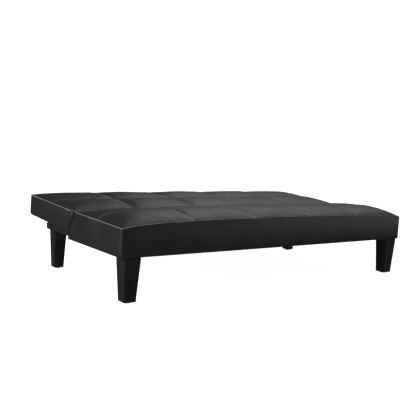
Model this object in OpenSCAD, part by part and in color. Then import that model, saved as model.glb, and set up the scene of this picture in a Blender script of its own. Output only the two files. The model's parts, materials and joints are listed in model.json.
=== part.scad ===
// Click-clack futon sofa bed, stored folded flat as a bed.
// Millimetres.  +X runs along the sofa, +Y to the back, +Z up.
// The origin is on the floor under the middle of the lying surface.

/* [Overall size] */
// Length of the sofa bed from end to end
sofa_length = 1860; // [1500:10:2000]
// Front to back depth of the lying surface when flat
lying_depth = 1040; // [1010:5:1080]
// Height of the lying surface above the floor
seat_height = 350; // [345:1:380]
// Depth from the seat front to the rear ends of the base rails
base_depth = 900; // [880:5:920]
// Depth from the seat front to the fold line
seat_depth = 487; // [470:1:500]

/* [Cushions] */
// Height of the underside of the seat above the floor
seat_underside = 203; // [195:1:208]
// Thickness of the backrest
back_thickness = 115; // [110:1:120]
// Upward tilt of the flat backrest, degrees
back_tilt = 3.2; // [2:0.1:4]
// Backward slant of the face between seat and backrest, degrees
split_slant = 26.5; // [22:0.5:28]
// Half of the open gap between the cushions at the fold line
fold_gap = 6; // [6:0.5:8]
// Rounding of the two cushion edges along the fold line
fold_edge_r = 25; // [20:1:25]
// Rounding of the other top edges
edge_r = 14; // [8:1:18]
// Rounding of the outer corners seen from above
corner_r = 18; // [10:1:30]
// Thickness of the faux leather cover with its backing
cover_t = 2.5; // [1.5:0.5:3]
// Thickness of the hem and of the dust cover cloth
cloth_t = 2; // [1:0.5:2]
// Width of the cover's hem under the frame
hem_w = 30; // [20:1:35]

/* [Frame] */
// Thickness of the side boards
side_board_t = 24; // [20:1:26]
// Thickness of the other boards
board_t = 20; // [18:1:22]
// Height of the seat frame's boards
seat_board_h = 65; // [60:1:68]
// Height of the backrest frame's boards
back_board_h = 58; // [50:1:60]
// Height of the cross beams
cross_beam_h = 40; // [30:1:45]
// Distance between neighbouring cross beams
cross_beam_spacing = 450; // [300:10:500]
// Leg length of the triangular corner blocks
corner_block_w = 60; // [40:1:80]
// Padding in front of and behind the frame
face_padding = 7.5; // [5:0.5:10]
// Padding along the slanted faces at the fold
fold_padding = 4; // [3:0.5:6]

/* [Base rails] */
// Width of a base rail
rail_w = 70; // [50:1:80]
// Height of a base rail
rail_h = 31; // [28:1:32]
// Length of the rubber bumper at the rear end of a rail
bumper_l = 48; // [30:1:60]

/* [Legs] */
// Width of a front leg at the top
front_leg_top = 80; // [70:1:84]
// Width of a front leg at the foot
front_leg_foot = 58; // [45:1:65]
// Width of a rear leg at the top
rear_leg_top = 68; // [60:1:70]
// Width of a rear leg at the foot
rear_leg_foot = 50; // [40:1:60]
// Distance from the sofa's middle to the middle of a front leg
front_leg_x = 866; // [860:1:870]
// Distance from the seat front to the middle of a front leg
front_leg_setback = 45; // [42:1:50]
// Distance from the sofa's middle to the middle of a rear leg
rear_leg_x = 845; // [840:1:850]
// Distance from the rail's rear end to the middle of a rear leg
rear_leg_setback = 65; // [60:1:90]
// Radius of the plastic glide under a leg
glide_r = 16; // [12:1:20]
// Thickness of the glide
glide_t = 5; // [4:0.5:6]

/* [Springs] */
// Number of sinuous springs in each frame
spring_count = 6; // [4:1:7]
// Wire thickness of a spring
spring_wire = 3.5; // [3:0.1:3.8]
// Sideways swing of a spring from its middle line
spring_swing = 22; // [15:1:26]
// Length of one full bend of a spring
spring_pitch = 52; // [44:1:70]

/* [Fold hinge] */
// Thickness of the hinge plates and pawls
plate_t = 3; // [2.5:0.1:3]
// Half width of the hinge plates' arms and hubs
hub_r = 13; // [11:0.5:13]
// Radius of the pivot pin
pivot_r = 5; // [4:0.5:6]
// Radius of the notched sector on the backrest plate
sector_r = 56; // [56:1:58]
// Depth of the notches that the pawl drops into
notch_depth = 7; // [6:0.5:7]
// Fold angle from bed to sofa, degrees
sofa_fold = 68; // [60:1:68]
// Angle through which a pawl lifts clear of its notch, degrees
pawl_lift = 10; // [10:0.5:11]

/* [Hidden] */
$fn = 48;
ARC_STEPS = 8;
RIM_STEPS = 16;
half_length = sofa_length / 2;
front_y = -lying_depth / 2;
back_y = lying_depth / 2;
pivot_y = front_y + seat_depth;
pivot_z = seat_height - fold_edge_r;
running_gap = 0.3;
bore_clearance = 0.06;

// Seat frame
seat_floor = seat_underside + cloth_t;
seat_board_top = seat_floor + seat_board_h;
frame_half_length = half_length - 21;
seat_inner_x = frame_half_length - side_board_t;
front_rail_y = front_y + cover_t + face_padding;
front_rail_inner_y = front_rail_y + board_t;
fold_inset = cover_t + fold_padding;
spring_space = 8;
spring_end_gap = 3;
corner_block_drop = 2;

// Backrest, in its own frame: u runs backwards along it from the pivot, w is square to it
back_slant = split_slant - back_tilt;
back_floor = fold_edge_r - back_thickness;
back_board_floor = back_floor + cloth_t;
back_board_top = back_board_floor + back_board_h;
back_length = (back_y - pivot_y + back_floor * sin(back_tilt)) / cos(back_tilt);
back_half_length = frame_half_length + plate_t + running_gap;
back_inner_x = back_half_length - side_board_t;
back_rail_u = back_length - cover_t - face_padding;

// Base rails and legs
rail_outer_x = seat_inner_x;
rail_inner_x = rail_outer_x - rail_w;
rail_top = seat_floor + rail_h;
rail_end_y = front_y + base_depth;
bumper_inset = 2;
bumper_side_inset = 5;
front_leg_y = front_y + front_leg_setback;
rear_leg_y = rail_end_y - rear_leg_setback;
front_bolt_x = front_leg_x - 6;
front_bolt_y = front_leg_y + 13;
leg_bolt_r = 4;
leg_bolt_low_z = 150;
leg_bolt_high_z = rail_top - 5;
glide_pin_r = 3;
glide_pin_h = 12;

// Screws
screw_r = 2.5;
screw_head_r = 5;
screw_head_h = 3;
screw_l = 59;
rail_screw_z = seat_floor + rail_h / 2;
rail_screw_depths = [120, 240, 360];
corner_screw_x = frame_half_length - side_board_t / 2;
back_screw_x = back_half_length - side_board_t / 2;
corner_screw_rises = [17, 48];

// Fold hinge, points measured from the pivot as [y, z]
seat_plate_x = frame_half_length;
back_plate_x = back_half_length;
hinge_outer_x = back_plate_x + plate_t + running_gap;
pivot_head_r = 9;
pivot_head_h = 3.5;
hinge_bolt_r = 4;
hinge_bolt_head_r = 8;
hinge_bolt_head_h = 3;
seat_bolt_points = [[-60, -80], [-125, -80]];
back_bolt_points = [[72, -52], [140, -52]];
sector_from = -158;
sector_to = -80;
pawl_angle = -86;
notch_r = 4;
notch_mouth = 6.5;
notch_angles = [for (fold = [0, sofa_fold / 2, sofa_fold]) pawl_angle - fold];
pawl_pivot = [-30, -78];
pawl_tail = pawl_pivot + [-16, 6];
pawl_eye_r = 8;
pawl_arm_r = 4;
pawl_nose_r = 3;
pawl_pin_r = 3;
pawl_pin_head_r = 5.5;
pawl_pin_head_h = 2;
pawl_nose_tip = polar(pawl_angle, sector_r - notch_depth + pawl_nose_r + 1.8);
pawl_nose_root = polar(pawl_angle, sector_r + 6);
hinge_slot_from = seat_plate_x - pivot_head_h - 1;
hinge_slot_to = seat_plate_x + 12.5;
hinge_room_from = seat_plate_x - 4;
pawl_spring_r = 7.5;
pawl_spring_wire = 1.2;
pawl_spring_leg = 12;

// Openings for the hinge, low and high corners measured from the pivot as [y, z]
seat_slot = [[-70, -63], [40, 15]];
back_slot = [[-40, -62], [60, 15]];
seat_hinge_room = [[-150, seat_floor - 1 - pivot_z], [70, 17]];
back_hinge_room = [[-30, back_board_floor - 1], [160, 17]];

// Staples
staple_l = 10;
staple_w = 1.2;
staple_h = 0.8;
staple_pitch = 62;
staple_inset = hem_w + 4;
staple_reach = front_leg_x - front_leg_top / 2 - staple_l;

// ---------- helpers ----------

// A point at a distance and an angle
function polar(angle, r) = [r * cos(angle), r * sin(angle)];

// Points of a round stretch of an outline
function arc(center, r, from, to) =
    [for (i = [0:ARC_STEPS]) center + polar(from + (to - from) * i / ARC_STEPS, r)];

// Extrude an outline drawn in Y and Z along X
module along_x(from, to) {
    translate([from, 0, 0])
        rotate([90, 0, 90])
            linear_extrude(to - from)
                children();
}

// A box between two opposite corners
module box(low, high) {
    translate(low)
        cube(high - low);
}

// A straight bar with round ends
module bar(a, b, r) {
    along = atan2(b[1] - a[1], b[0] - a[0]);
    polygon(concat(arc(b, r, along - 90, along + 90), arc(a, r, along + 90, along + 270)));
}

// Children drawn for the right end, and mirrored for the left one
module at_end(side) {
    if (side < 0)
        mirror([1, 0, 0])
            children();
    else
        children();
}

module at_both_ends() {
    for (side = [-1, 1])
        at_end(side)
            children();
}

// Children drawn at the fold line
module at_pivot() {
    translate([0, pivot_y, pivot_z])
        children();
}

// Children drawn in the flat backrest's tilted frame
module in_back() {
    at_pivot()
        rotate([back_tilt, 0, 0])
            children();
}

// ---------- cushion outlines ----------

// Place of the seat's slanted rear face at a height
function seat_rear_y(z, inset) =
    pivot_y - fold_gap - fold_edge_r + (fold_edge_r - inset) / cos(split_slant)
    + (pivot_z - z) * tan(split_slant);

// Place of the backrest's slanted front face at a height above the pivot
function back_front_u(w, inset) =
    fold_gap + fold_edge_r - (fold_edge_r - inset) / cos(back_slant) - w * tan(back_slant);

function seat_outline(inset, bottom) = concat(
    [[front_y + inset, bottom]],
    arc([front_y + edge_r, seat_height - edge_r], edge_r - inset, 180, 90),
    arc([pivot_y - fold_gap - fold_edge_r, pivot_z], fold_edge_r - inset, 90, split_slant),
    [[seat_rear_y(bottom, inset), bottom]]);

function back_outline(inset, bottom) = concat(
    [[back_front_u(bottom, inset), bottom]],
    arc([fold_gap + fold_edge_r, 0], fold_edge_r - inset, 180 + back_slant, 90),
    arc([back_length - edge_r, fold_edge_r - edge_r], edge_r - inset, 90, 0),
    [[back_length - inset, bottom]]);

// Top view of a cushion whose outer corners lie at depth far, and whose other side is open
function plan_outline(inset, near, far, from, to) = let (
    x = half_length - corner_r,
    y = far + (near > far ? corner_r : -corner_r),
    r = corner_r - inset) concat(
    [[-half_length + inset, near]],
    arc([-x, y], r, 180, from),
    arc([x, y], r, from, to),
    [[half_length - inset, near]]);

module seat_solid(inset, bottom) {
    intersection() {
        along_x(-half_length + inset, half_length - inset)
            polygon(seat_outline(inset, bottom));
        linear_extrude(seat_height + 1)
            polygon(plan_outline(inset, pivot_y + 100, front_y, 270, 360));
    }
}

module back_solid(inset, bottom) {
    intersection() {
        along_x(-half_length + inset, half_length - inset)
            polygon(back_outline(inset, bottom));
        translate([0, 0, back_floor - 1])
            linear_extrude(back_thickness + 2)
                polygon(plan_outline(inset, -10, back_length, 90, 0));
    }
}

// ---------- hinge cutouts ----------

// Opening in a cushion's fold face for the hinge plates, both ends
module hinge_slots(corners) {
    at_both_ends()
        box([hinge_slot_from, corners[0][0], corners[0][1]],
            [hinge_slot_to, corners[1][0], corners[1][1]]);
}

// Room in the foam for the hinge plates and bolts, both ends
module hinge_rooms(corners) {
    at_both_ends()
        box([hinge_room_from, corners[0][0], corners[0][1]],
            [half_length, corners[1][0], corners[1][1]]);
}

// Both base rails with a little room round them
module rail_room(room) {
    at_both_ends()
        box([rail_inner_x - room, front_rail_inner_y, seat_floor - room],
            [rail_outer_x + room, rail_end_y, rail_top + room]);
}

// ---------- fasteners ----------

// Countersunk frame screw along +X with its head's outer face at the origin
module screw() {
    rotate([0, -90, 0]) {
        cylinder(h = screw_l, r = screw_r);
        cylinder(h = screw_head_h, r = screw_head_r);
    }
}

module rail_screw_group() {
    at_both_ends()
        for (depth = rail_screw_depths)
            translate([frame_half_length, front_y + depth, rail_screw_z])
                screw();
}

module seat_screw_group() {
    at_both_ends()
        for (rise = corner_screw_rises)
            translate([corner_screw_x, front_rail_y, seat_floor + rise])
                rotate([0, 0, -90])
                    screw();
}

module back_screw_group() {
    at_both_ends()
        for (rise = corner_screw_rises)
            translate([back_screw_x, back_rail_u, back_board_floor + rise])
                rotate([0, 0, 90])
                    screw();
}

module leg_bolt_group() {
    at_both_ends() {
        translate([front_bolt_x, front_bolt_y, leg_bolt_low_z])
            cylinder(h = leg_bolt_high_z - leg_bolt_low_z, r = leg_bolt_r);
        translate([rear_leg_x, rear_leg_y, leg_bolt_low_z])
            cylinder(h = leg_bolt_high_z - leg_bolt_low_z, r = leg_bolt_r);
    }
}

// Carriage bolts through a hinge plate and its side board
module hinge_bolt_group(points, outer_x) {
    for (p = points)
        translate([0, p[0], p[1]])
            rotate([0, 90, 0]) {
                translate([0, 0, outer_x - plate_t - side_board_t])
                    cylinder(h = plate_t + side_board_t, r = hinge_bolt_r);
                translate([0, 0, outer_x])
                    cylinder(h = hinge_bolt_head_h, r = hinge_bolt_head_r);
            }
}

module seat_hinge_bolt_group() {
    at_both_ends()
        at_pivot()
            hinge_bolt_group(seat_bolt_points, seat_plate_x + plate_t);
}

module back_hinge_bolt_group() {
    at_both_ends()
        hinge_bolt_group(back_bolt_points, back_plate_x + plate_t);
}

// ---------- springs ----------

// Middle line of a sinuous spring at a depth
function spring_x(y) = spring_swing * sin(360 * y / spring_pitch);

// Outline of one spring between two depths, seen from above
module spring_outline(from, to) {
    steps = round((to - from) / spring_pitch * 8);
    depths = [for (i = [0:steps]) from + (to - from) * i / steps];
    slope = [for (y = depths)
        spring_swing * 360 / spring_pitch * PI / 180 * cos(360 * y / spring_pitch)];
    side = [for (i = [0:steps]) [1, -slope[i]] * spring_wire / 2 / sqrt(1 + slope[i] * slope[i])];
    polygon(concat(
        [for (i = [0:steps]) [spring_x(depths[i]), depths[i]] + side[i]],
        [for (i = [steps:-1:0]) [spring_x(depths[i]), depths[i]] - side[i]]));
}

// Middles of the springs, spread evenly over the frame's length
spring_places = [for (i = [0:spring_count - 1])
    (i - (spring_count - 1) / 2) * 2 * seat_inner_x / spring_count];

module spring_row(from, to) {
    for (x = spring_places)
        translate([x, 0, 0])
            linear_extrude(spring_wire)
                spring_outline(from, to);
}

// Bridge-shaped clips over both ends of every spring
module clip_row(depths) {
    clip_half_w = spring_swing + 6;
    clip_l = 12;
    clip_t = 1.5;
    foot_w = 3;
    for (x = spring_places)
        for (y = depths)
            translate([x, y - clip_l / 2, 0])
                difference() {
                    box([-clip_half_w, 0, 0], [clip_half_w, clip_l, spring_wire + clip_t]);
                    box([-clip_half_w + foot_w, -1, -1], [clip_half_w - foot_w, clip_l + 1, spring_wire]);
                }
}

// Staples in two long rows between the leg corners and two short rows at the ends
module staple_ring(low, high, short_from) {
    count_x = floor(2 * staple_reach / staple_pitch);
    count_y = floor((high[1] - short_from) / staple_pitch);
    for (i = [0:count_x])
        for (y = [low[1], high[1]])
            translate([(2 * i / count_x - 1) * staple_reach, y, 0])
                cube([staple_l, staple_w, staple_h], center = true);
    for (i = [1:count_y - 1])
        for (x = [low[0], high[0]])
            translate([x, short_from + i * (high[1] - short_from) / count_y, 0])
                cube([staple_w, staple_l, staple_h], center = true);
}

// ---------- seat ----------

module seat_cover() {
    color("#26262a")
        difference() {
            seat_solid(0, seat_underside);
            seat_solid(cover_t, seat_floor);
            box([-half_length + hem_w, front_y + hem_w, seat_underside - 1],
                [half_length - hem_w, seat_rear_y(seat_underside, 0) - hem_w, seat_floor + 1]);
            rail_room(1);
            at_pivot()
                hinge_slots(seat_slot);
        }
}

// Space inside the seat foam for the frame and springs
module seat_frame_space() {
    ceiling = seat_board_top + spring_space;
    along_x(-frame_half_length, frame_half_length)
        polygon([
            [front_rail_y, seat_floor - 1],
            [front_rail_y, ceiling],
            [seat_rear_y(ceiling, fold_inset), ceiling],
            [seat_rear_y(seat_floor - 1, fold_inset), seat_floor - 1]]);
}

module seat_foam() {
    color("#d8c98f")
        difference() {
            seat_solid(cover_t, seat_floor);
            seat_frame_space();
            rail_room(1);
            at_pivot()
                hinge_rooms(seat_hinge_room);
        }
}

module seat_springs() {
    color("#5c5f63")
        translate([0, 0, seat_board_top])
            spring_row(front_rail_y + spring_end_gap,
                seat_rear_y(seat_board_top, fold_inset) - spring_end_gap);
}

module seat_spring_clips() {
    color("#8d9094")
        translate([0, 0, seat_board_top])
            clip_row([front_rail_y + board_t / 2,
                seat_rear_y(seat_board_top, fold_inset + board_t / 2)]);
}

module seat_front_rail() {
    color("#c9a26b")
        difference() {
            box([-frame_half_length, front_rail_y, seat_floor],
                [frame_half_length, front_rail_inner_y, seat_board_top]);
            seat_screw_group();
        }
}

module seat_rear_rail() {
    color("#c9a26b")
        difference() {
            along_x(-seat_inner_x, seat_inner_x)
                polygon([
                    [seat_rear_y(seat_floor, fold_inset + board_t), seat_floor],
                    [seat_rear_y(seat_board_top, fold_inset + board_t), seat_board_top],
                    [seat_rear_y(seat_board_top, fold_inset), seat_board_top],
                    [seat_rear_y(seat_floor, fold_inset), seat_floor]]);
            rail_room(0);
        }
}

module seat_side_board(side) {
    color("#c9a26b")
        difference() {
            at_end(side)
                along_x(seat_inner_x, frame_half_length)
                    polygon([
                        [front_rail_inner_y, seat_floor],
                        [front_rail_inner_y, seat_board_top],
                        [seat_rear_y(seat_board_top, fold_inset), seat_board_top],
                        [seat_rear_y(seat_floor, fold_inset), seat_floor]]);
            seat_screw_group();
            rail_screw_group();
            seat_hinge_bolt_group();
        }
}

module seat_side_board_left() {
    seat_side_board(-1);
}

module seat_side_board_right() {
    seat_side_board(1);
}

module seat_cross_beams() {
    beam_top = seat_floor + cross_beam_h;
    inset = fold_inset + board_t;
    color("#c9a26b")
        for (i = [-1, 0, 1])
            translate([i * cross_beam_spacing, 0, 0])
                along_x(-board_t / 2, board_t / 2)
                    polygon([
                        [front_rail_inner_y, seat_floor],
                        [front_rail_inner_y, beam_top],
                        [seat_rear_y(beam_top, inset), beam_top],
                        [seat_rear_y(seat_floor, inset), seat_floor]]);
}

module seat_corner_blocks() {
    block_top = seat_board_top - corner_block_drop;
    rear_y = seat_rear_y(block_top, fold_inset + board_t);
    color("#c9a26b")
        translate([0, 0, rail_top])
            linear_extrude(block_top - rail_top)
                for (side = [-1, 1]) {
                    polygon([[side * seat_inner_x, front_rail_inner_y],
                        [side * (seat_inner_x - corner_block_w), front_rail_inner_y],
                        [side * seat_inner_x, front_rail_inner_y + corner_block_w]]);
                    polygon([[side * seat_inner_x, rear_y],
                        [side * (seat_inner_x - corner_block_w), rear_y],
                        [side * seat_inner_x, rear_y - corner_block_w]]);
                }
}

module seat_dust_cover() {
    color("#1d1d1f")
        difference() {
            box([-half_length + hem_w, front_y + hem_w, seat_underside],
                [half_length - hem_w, seat_rear_y(seat_underside, 0) - hem_w, seat_floor]);
            leg_bolt_group();
        }
}

module seat_staples() {
    color("#b9bcc0")
        translate([0, 0, seat_underside - staple_h / 2])
            staple_ring([-half_length + staple_inset, front_y + staple_inset],
                [half_length - staple_inset, seat_rear_y(seat_underside, 0) - staple_inset],
                front_leg_y + front_leg_top / 2 - staple_pitch / 2);
}

module seat_frame_screws() {
    color("#b9bcc0")
        seat_screw_group();
}

// ---------- base rails and legs ----------

module base_rail(side) {
    color("#1c1c1e")
        difference() {
            at_end(side)
                box([rail_inner_x, front_rail_inner_y, seat_floor],
                    [rail_outer_x, rail_end_y, rail_top]);
            rail_screw_group();
            leg_bolt_group();
        }
}

module base_rail_left() {
    base_rail(-1);
}

module base_rail_right() {
    base_rail(1);
}

module rail_screws() {
    color("#b9bcc0")
        rail_screw_group();
}

// Height of the flat backrest's underside at a depth
function back_under_z(y) =
    pivot_z + (y - pivot_y) * tan(back_tilt) + back_floor / cos(back_tilt);

module back_bumpers() {
    far = rail_end_y - bumper_inset;
    near = far - bumper_l;
    color("#2c2c2c")
        at_both_ends()
            along_x(rail_inner_x + bumper_side_inset, rail_outer_x - bumper_side_inset)
                polygon([
                    [near, rail_top],
                    [near, back_under_z(near) - running_gap],
                    [far, back_under_z(far) - running_gap],
                    [far, rail_top]]);
}

// Square tapered leg with the hole for its bolt and its glide's pin
module leg(side, x, y, top_z, top_w, foot_w) {
    color("#161617")
        difference() {
            at_end(side)
                translate([x, y, glide_t])
                    linear_extrude(top_z - glide_t, scale = top_w / foot_w)
                        square(foot_w, center = true);
            leg_bolt_group();
            at_end(side)
                translate([x, y, glide_t])
                    cylinder(h = glide_pin_h, r = glide_pin_r);
        }
}

module leg_front_left() {
    leg(-1, front_leg_x, front_leg_y, seat_underside, front_leg_top, front_leg_foot);
}

module leg_front_right() {
    leg(1, front_leg_x, front_leg_y, seat_underside, front_leg_top, front_leg_foot);
}

module leg_rear_left() {
    leg(-1, rear_leg_x, rear_leg_y, seat_floor, rear_leg_top, rear_leg_foot);
}

module leg_rear_right() {
    leg(1, rear_leg_x, rear_leg_y, seat_floor, rear_leg_top, rear_leg_foot);
}

module leg_bolts() {
    color("#b9bcc0")
        leg_bolt_group();
}

module leg_glides() {
    color("#3a3a3c")
        at_both_ends()
            for (place = [[front_leg_x, front_leg_y, 0], [rear_leg_x, rear_leg_y, 0]])
                translate(place) {
                    cylinder(h = glide_t, r = glide_r);
                    cylinder(h = glide_t + glide_pin_h, r = glide_pin_r);
                }
}

// ---------- fold hinge ----------

module hinge_seat_plate(side) {
    color("#4a4c50")
        difference() {
            at_end(side)
                at_pivot()
                    along_x(seat_plate_x, seat_plate_x + plate_t)
                        difference() {
                            union() {
                                bar([0, 0], seat_bolt_points[0], hub_r);
                                bar(seat_bolt_points[0], seat_bolt_points[1], hub_r);
                                bar(seat_bolt_points[0], pawl_pivot, hub_r - 2);
                            }
                            circle(pivot_r);
                            translate(pawl_pivot)
                                circle(pawl_pin_r);
                        }
            seat_hinge_bolt_group();
        }
}

module hinge_seat_plate_left() {
    hinge_seat_plate(-1);
}

module hinge_seat_plate_right() {
    hinge_seat_plate(1);
}

module hinge_seat_bolts() {
    color("#b9bcc0")
        seat_hinge_bolt_group();
}

// Riveted pin: shank through both plates and a head outside
module hinge_pivot_pin(side) {
    color("#b9bcc0")
        at_end(side)
            translate([seat_plate_x, pivot_y, pivot_z])
                rotate([0, 90, 0]) {
                    translate([0, 0, -pivot_head_h])
                        cylinder(h = pivot_head_h, r = pivot_head_r - 1);
                    cylinder(h = hinge_outer_x - seat_plate_x, r = pivot_r);
                    translate([0, 0, hinge_outer_x - seat_plate_x])
                        cylinder(h = pivot_head_h, r = pivot_head_r);
                }
}

module hinge_pivot_pin_left() {
    hinge_pivot_pin(-1);
}

module hinge_pivot_pin_right() {
    hinge_pivot_pin(1);
}

module pawl_pins() {
    color("#b9bcc0")
        at_both_ends()
            translate([seat_plate_x, pivot_y + pawl_pivot[0], pivot_z + pawl_pivot[1]])
                rotate([0, 90, 0]) {
                    cylinder(h = hinge_outer_x - seat_plate_x, r = pawl_pin_r);
                    translate([0, 0, hinge_outer_x - seat_plate_x])
                        cylinder(h = pawl_pin_head_h, r = pawl_pin_head_r);
                }
}

// Torsion spring round the pawl pin's head, one leg towards the pawl's tail
module pawl_springs() {
    color("#5c5f63")
        at_both_ends()
            translate([hinge_outer_x, pivot_y + pawl_pivot[0], pivot_z + pawl_pivot[1]])
                rotate([90, 0, 90])
                    linear_extrude(pawl_spring_wire * 2) {
                        difference() {
                            circle(pawl_spring_r);
                            circle(pawl_spring_r - pawl_spring_wire);
                        }
                        translate([-pawl_spring_leg, -pawl_spring_r])
                            square([pawl_spring_leg, pawl_spring_wire]);
                        translate([-pawl_spring_leg, pawl_spring_r - pawl_spring_wire])
                            square([pawl_spring_leg, pawl_spring_wire]);
                    }
}

// Ratchet pawl, drawn dropped in its notch and then lifted about its pin
module pawl(side) {
    color("#6a6d72")
        at_end(side)
            at_pivot()
                translate([0, pawl_pivot[0], pawl_pivot[1]])
                    rotate([-pawl_lift, 0, 0])
                        translate([0, -pawl_pivot[0], -pawl_pivot[1]])
                            along_x(back_plate_x, back_plate_x + plate_t)
                                difference() {
                                    union() {
                                        bar(pawl_pivot, pawl_pivot + [1, 0], pawl_eye_r);
                                        bar(pawl_pivot, pawl_nose_root, pawl_arm_r);
                                        bar(pawl_nose_root, pawl_nose_tip, pawl_nose_r);
                                        bar(pawl_pivot, pawl_tail, pawl_arm_r);
                                    }
                                    translate(pawl_pivot)
                                        circle(pawl_pin_r + bore_clearance);
                                }
}

module pawl_left() {
    pawl(-1);
}

module pawl_right() {
    pawl(1);
}

// Notch in the sector's rim, open outwards
module sector_notch(angle) {
    floor_r = sector_r - notch_depth + notch_r;
    rotate(angle)
        polygon(concat(arc([floor_r, 0], notch_r, 90, 270),
            [[sector_r + 1, -notch_mouth], [sector_r + 1, notch_mouth]]));
}

module hinge_back_plate(side) {
    rim = [for (i = [0:RIM_STEPS])
        polar(sector_from + (sector_to - sector_from) * i / RIM_STEPS, sector_r)];
    color("#55585c")
        at_end(side)
            at_pivot()
                along_x(back_plate_x, back_plate_x + plate_t)
                    difference() {
                        union() {
                            polygon(concat([[0, 0]], rim));
                            rotate(back_tilt) {
                                bar([0, 0], back_bolt_points[0], hub_r);
                                bar(back_bolt_points[0], back_bolt_points[1], hub_r);
                            }
                        }
                        circle(pivot_r + bore_clearance);
                        for (angle = notch_angles)
                            sector_notch(angle);
                        rotate(back_tilt)
                            for (p = back_bolt_points)
                                translate(p)
                                    circle(hinge_bolt_r);
                    }
}

module hinge_back_plate_left() {
    hinge_back_plate(-1);
}

module hinge_back_plate_right() {
    hinge_back_plate(1);
}

module hinge_back_bolts() {
    color("#b9bcc0")
        in_back()
            back_hinge_bolt_group();
}

// ---------- backrest ----------

module back_cover() {
    color("#26262a")
        in_back()
            difference() {
                back_solid(0, back_floor);
                back_solid(cover_t, back_board_floor);
                box([-half_length + hem_w, back_front_u(back_floor, 0) + hem_w, back_floor - 1],
                    [half_length - hem_w, back_length - hem_w, back_board_floor + 1]);
                hinge_slots(back_slot);
            }
}

// Space inside the backrest foam for the frame and springs
module back_frame_space() {
    ceiling = back_board_top + spring_space;
    along_x(-back_half_length, back_half_length)
        polygon([
            [back_front_u(back_board_floor - 1, fold_inset), back_board_floor - 1],
            [back_front_u(ceiling, fold_inset), ceiling],
            [back_rail_u, ceiling],
            [back_rail_u, back_board_floor - 1]]);
}

module back_foam() {
    color("#d8c98f")
        in_back()
            difference() {
                back_solid(cover_t, back_board_floor);
                back_frame_space();
                hinge_rooms(back_hinge_room);
            }
}

module back_springs() {
    color("#5c5f63")
        in_back()
            translate([0, 0, back_board_top])
                spring_row(back_front_u(back_board_top, fold_inset) + spring_end_gap,
                back_rail_u - spring_end_gap);
}

module back_spring_clips() {
    color("#8d9094")
        in_back()
            translate([0, 0, back_board_top])
                clip_row([back_front_u(back_board_top, fold_inset + board_t / 2),
                    back_rail_u - board_t / 2]);
}

module back_front_rail() {
    color("#c9a26b")
        in_back()
            along_x(-back_inner_x, back_inner_x)
                polygon([
                    [back_front_u(back_board_floor, fold_inset), back_board_floor],
                    [back_front_u(back_board_top, fold_inset), back_board_top],
                    [back_front_u(back_board_top, fold_inset + board_t), back_board_top],
                    [back_front_u(back_board_floor, fold_inset + board_t), back_board_floor]]);
}

module back_rear_rail() {
    color("#c9a26b")
        in_back()
            difference() {
                box([-back_half_length, back_rail_u - board_t, back_board_floor],
                    [back_half_length, back_rail_u, back_board_top]);
                back_screw_group();
            }
}

module back_side_board(side) {
    color("#c9a26b")
        in_back()
            difference() {
                at_end(side)
                    along_x(back_inner_x, back_half_length)
                        polygon([
                            [back_front_u(back_board_floor, fold_inset), back_board_floor],
                            [back_front_u(back_board_top, fold_inset), back_board_top],
                            [back_rail_u - board_t, back_board_top],
                            [back_rail_u - board_t, back_board_floor]]);
                back_screw_group();
                back_hinge_bolt_group();
            }
}

module back_side_board_left() {
    back_side_board(-1);
}

module back_side_board_right() {
    back_side_board(1);
}

module back_cross_beams() {
    beam_top = back_board_floor + cross_beam_h;
    inset = fold_inset + board_t;
    color("#c9a26b")
        in_back()
            for (i = [-1, 0, 1])
                translate([i * cross_beam_spacing, 0, 0])
                    along_x(-board_t / 2, board_t / 2)
                        polygon([
                            [back_front_u(back_board_floor, inset), back_board_floor],
                            [back_front_u(beam_top, inset), beam_top],
                            [back_rail_u - board_t, beam_top],
                            [back_rail_u - board_t, back_board_floor]]);
}

module back_dust_cover() {
    color("#1d1d1f")
        in_back()
            box([-half_length + hem_w, back_front_u(back_floor, 0) + hem_w, back_floor],
                [half_length - hem_w, back_length - hem_w, back_board_floor]);
}

module back_staples() {
    low_u = back_front_u(back_floor, 0) + staple_inset;
    color("#b9bcc0")
        in_back()
            translate([0, 0, back_floor - staple_h / 2])
                staple_ring([-half_length + staple_inset, low_u],
                    [half_length - staple_inset, back_length - staple_inset], low_u);
}

module back_frame_screws() {
    color("#b9bcc0")
        in_back()
            back_screw_group();
}

seat_cover();
seat_foam();
seat_springs();
seat_spring_clips();
seat_front_rail();
seat_rear_rail();
seat_side_board_left();
seat_side_board_right();
seat_cross_beams();
seat_corner_blocks();
seat_dust_cover();
seat_staples();
seat_frame_screws();
base_rail_left();
base_rail_right();
rail_screws();
back_bumpers();
leg_front_left();
leg_front_right();
leg_rear_left();
leg_rear_right();
leg_bolts();
leg_glides();
hinge_seat_plate_left();
hinge_seat_plate_right();
hinge_seat_bolts();
hinge_pivot_pin_left();
hinge_pivot_pin_right();
pawl_pins();
pawl_springs();
pawl_left();
pawl_right();
hinge_back_plate_left();
hinge_back_plate_right();
hinge_back_bolts();
back_cover();
back_foam();
back_springs();
back_spring_clips();
back_front_rail();
back_rear_rail();
back_side_board_left();
back_side_board_right();
back_cross_beams();
back_dust_cover();
back_staples();
back_frame_screws();
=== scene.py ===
"""Looks of the click-clack futon sofa bed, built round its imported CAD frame.

Metres.  +X along the sofa, +Y to the back, +Z up, origin on the floor in the middle.
"""
import json
import math

import bmesh
import bpy
import numpy as np
from mathutils import Matrix, Vector


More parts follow.
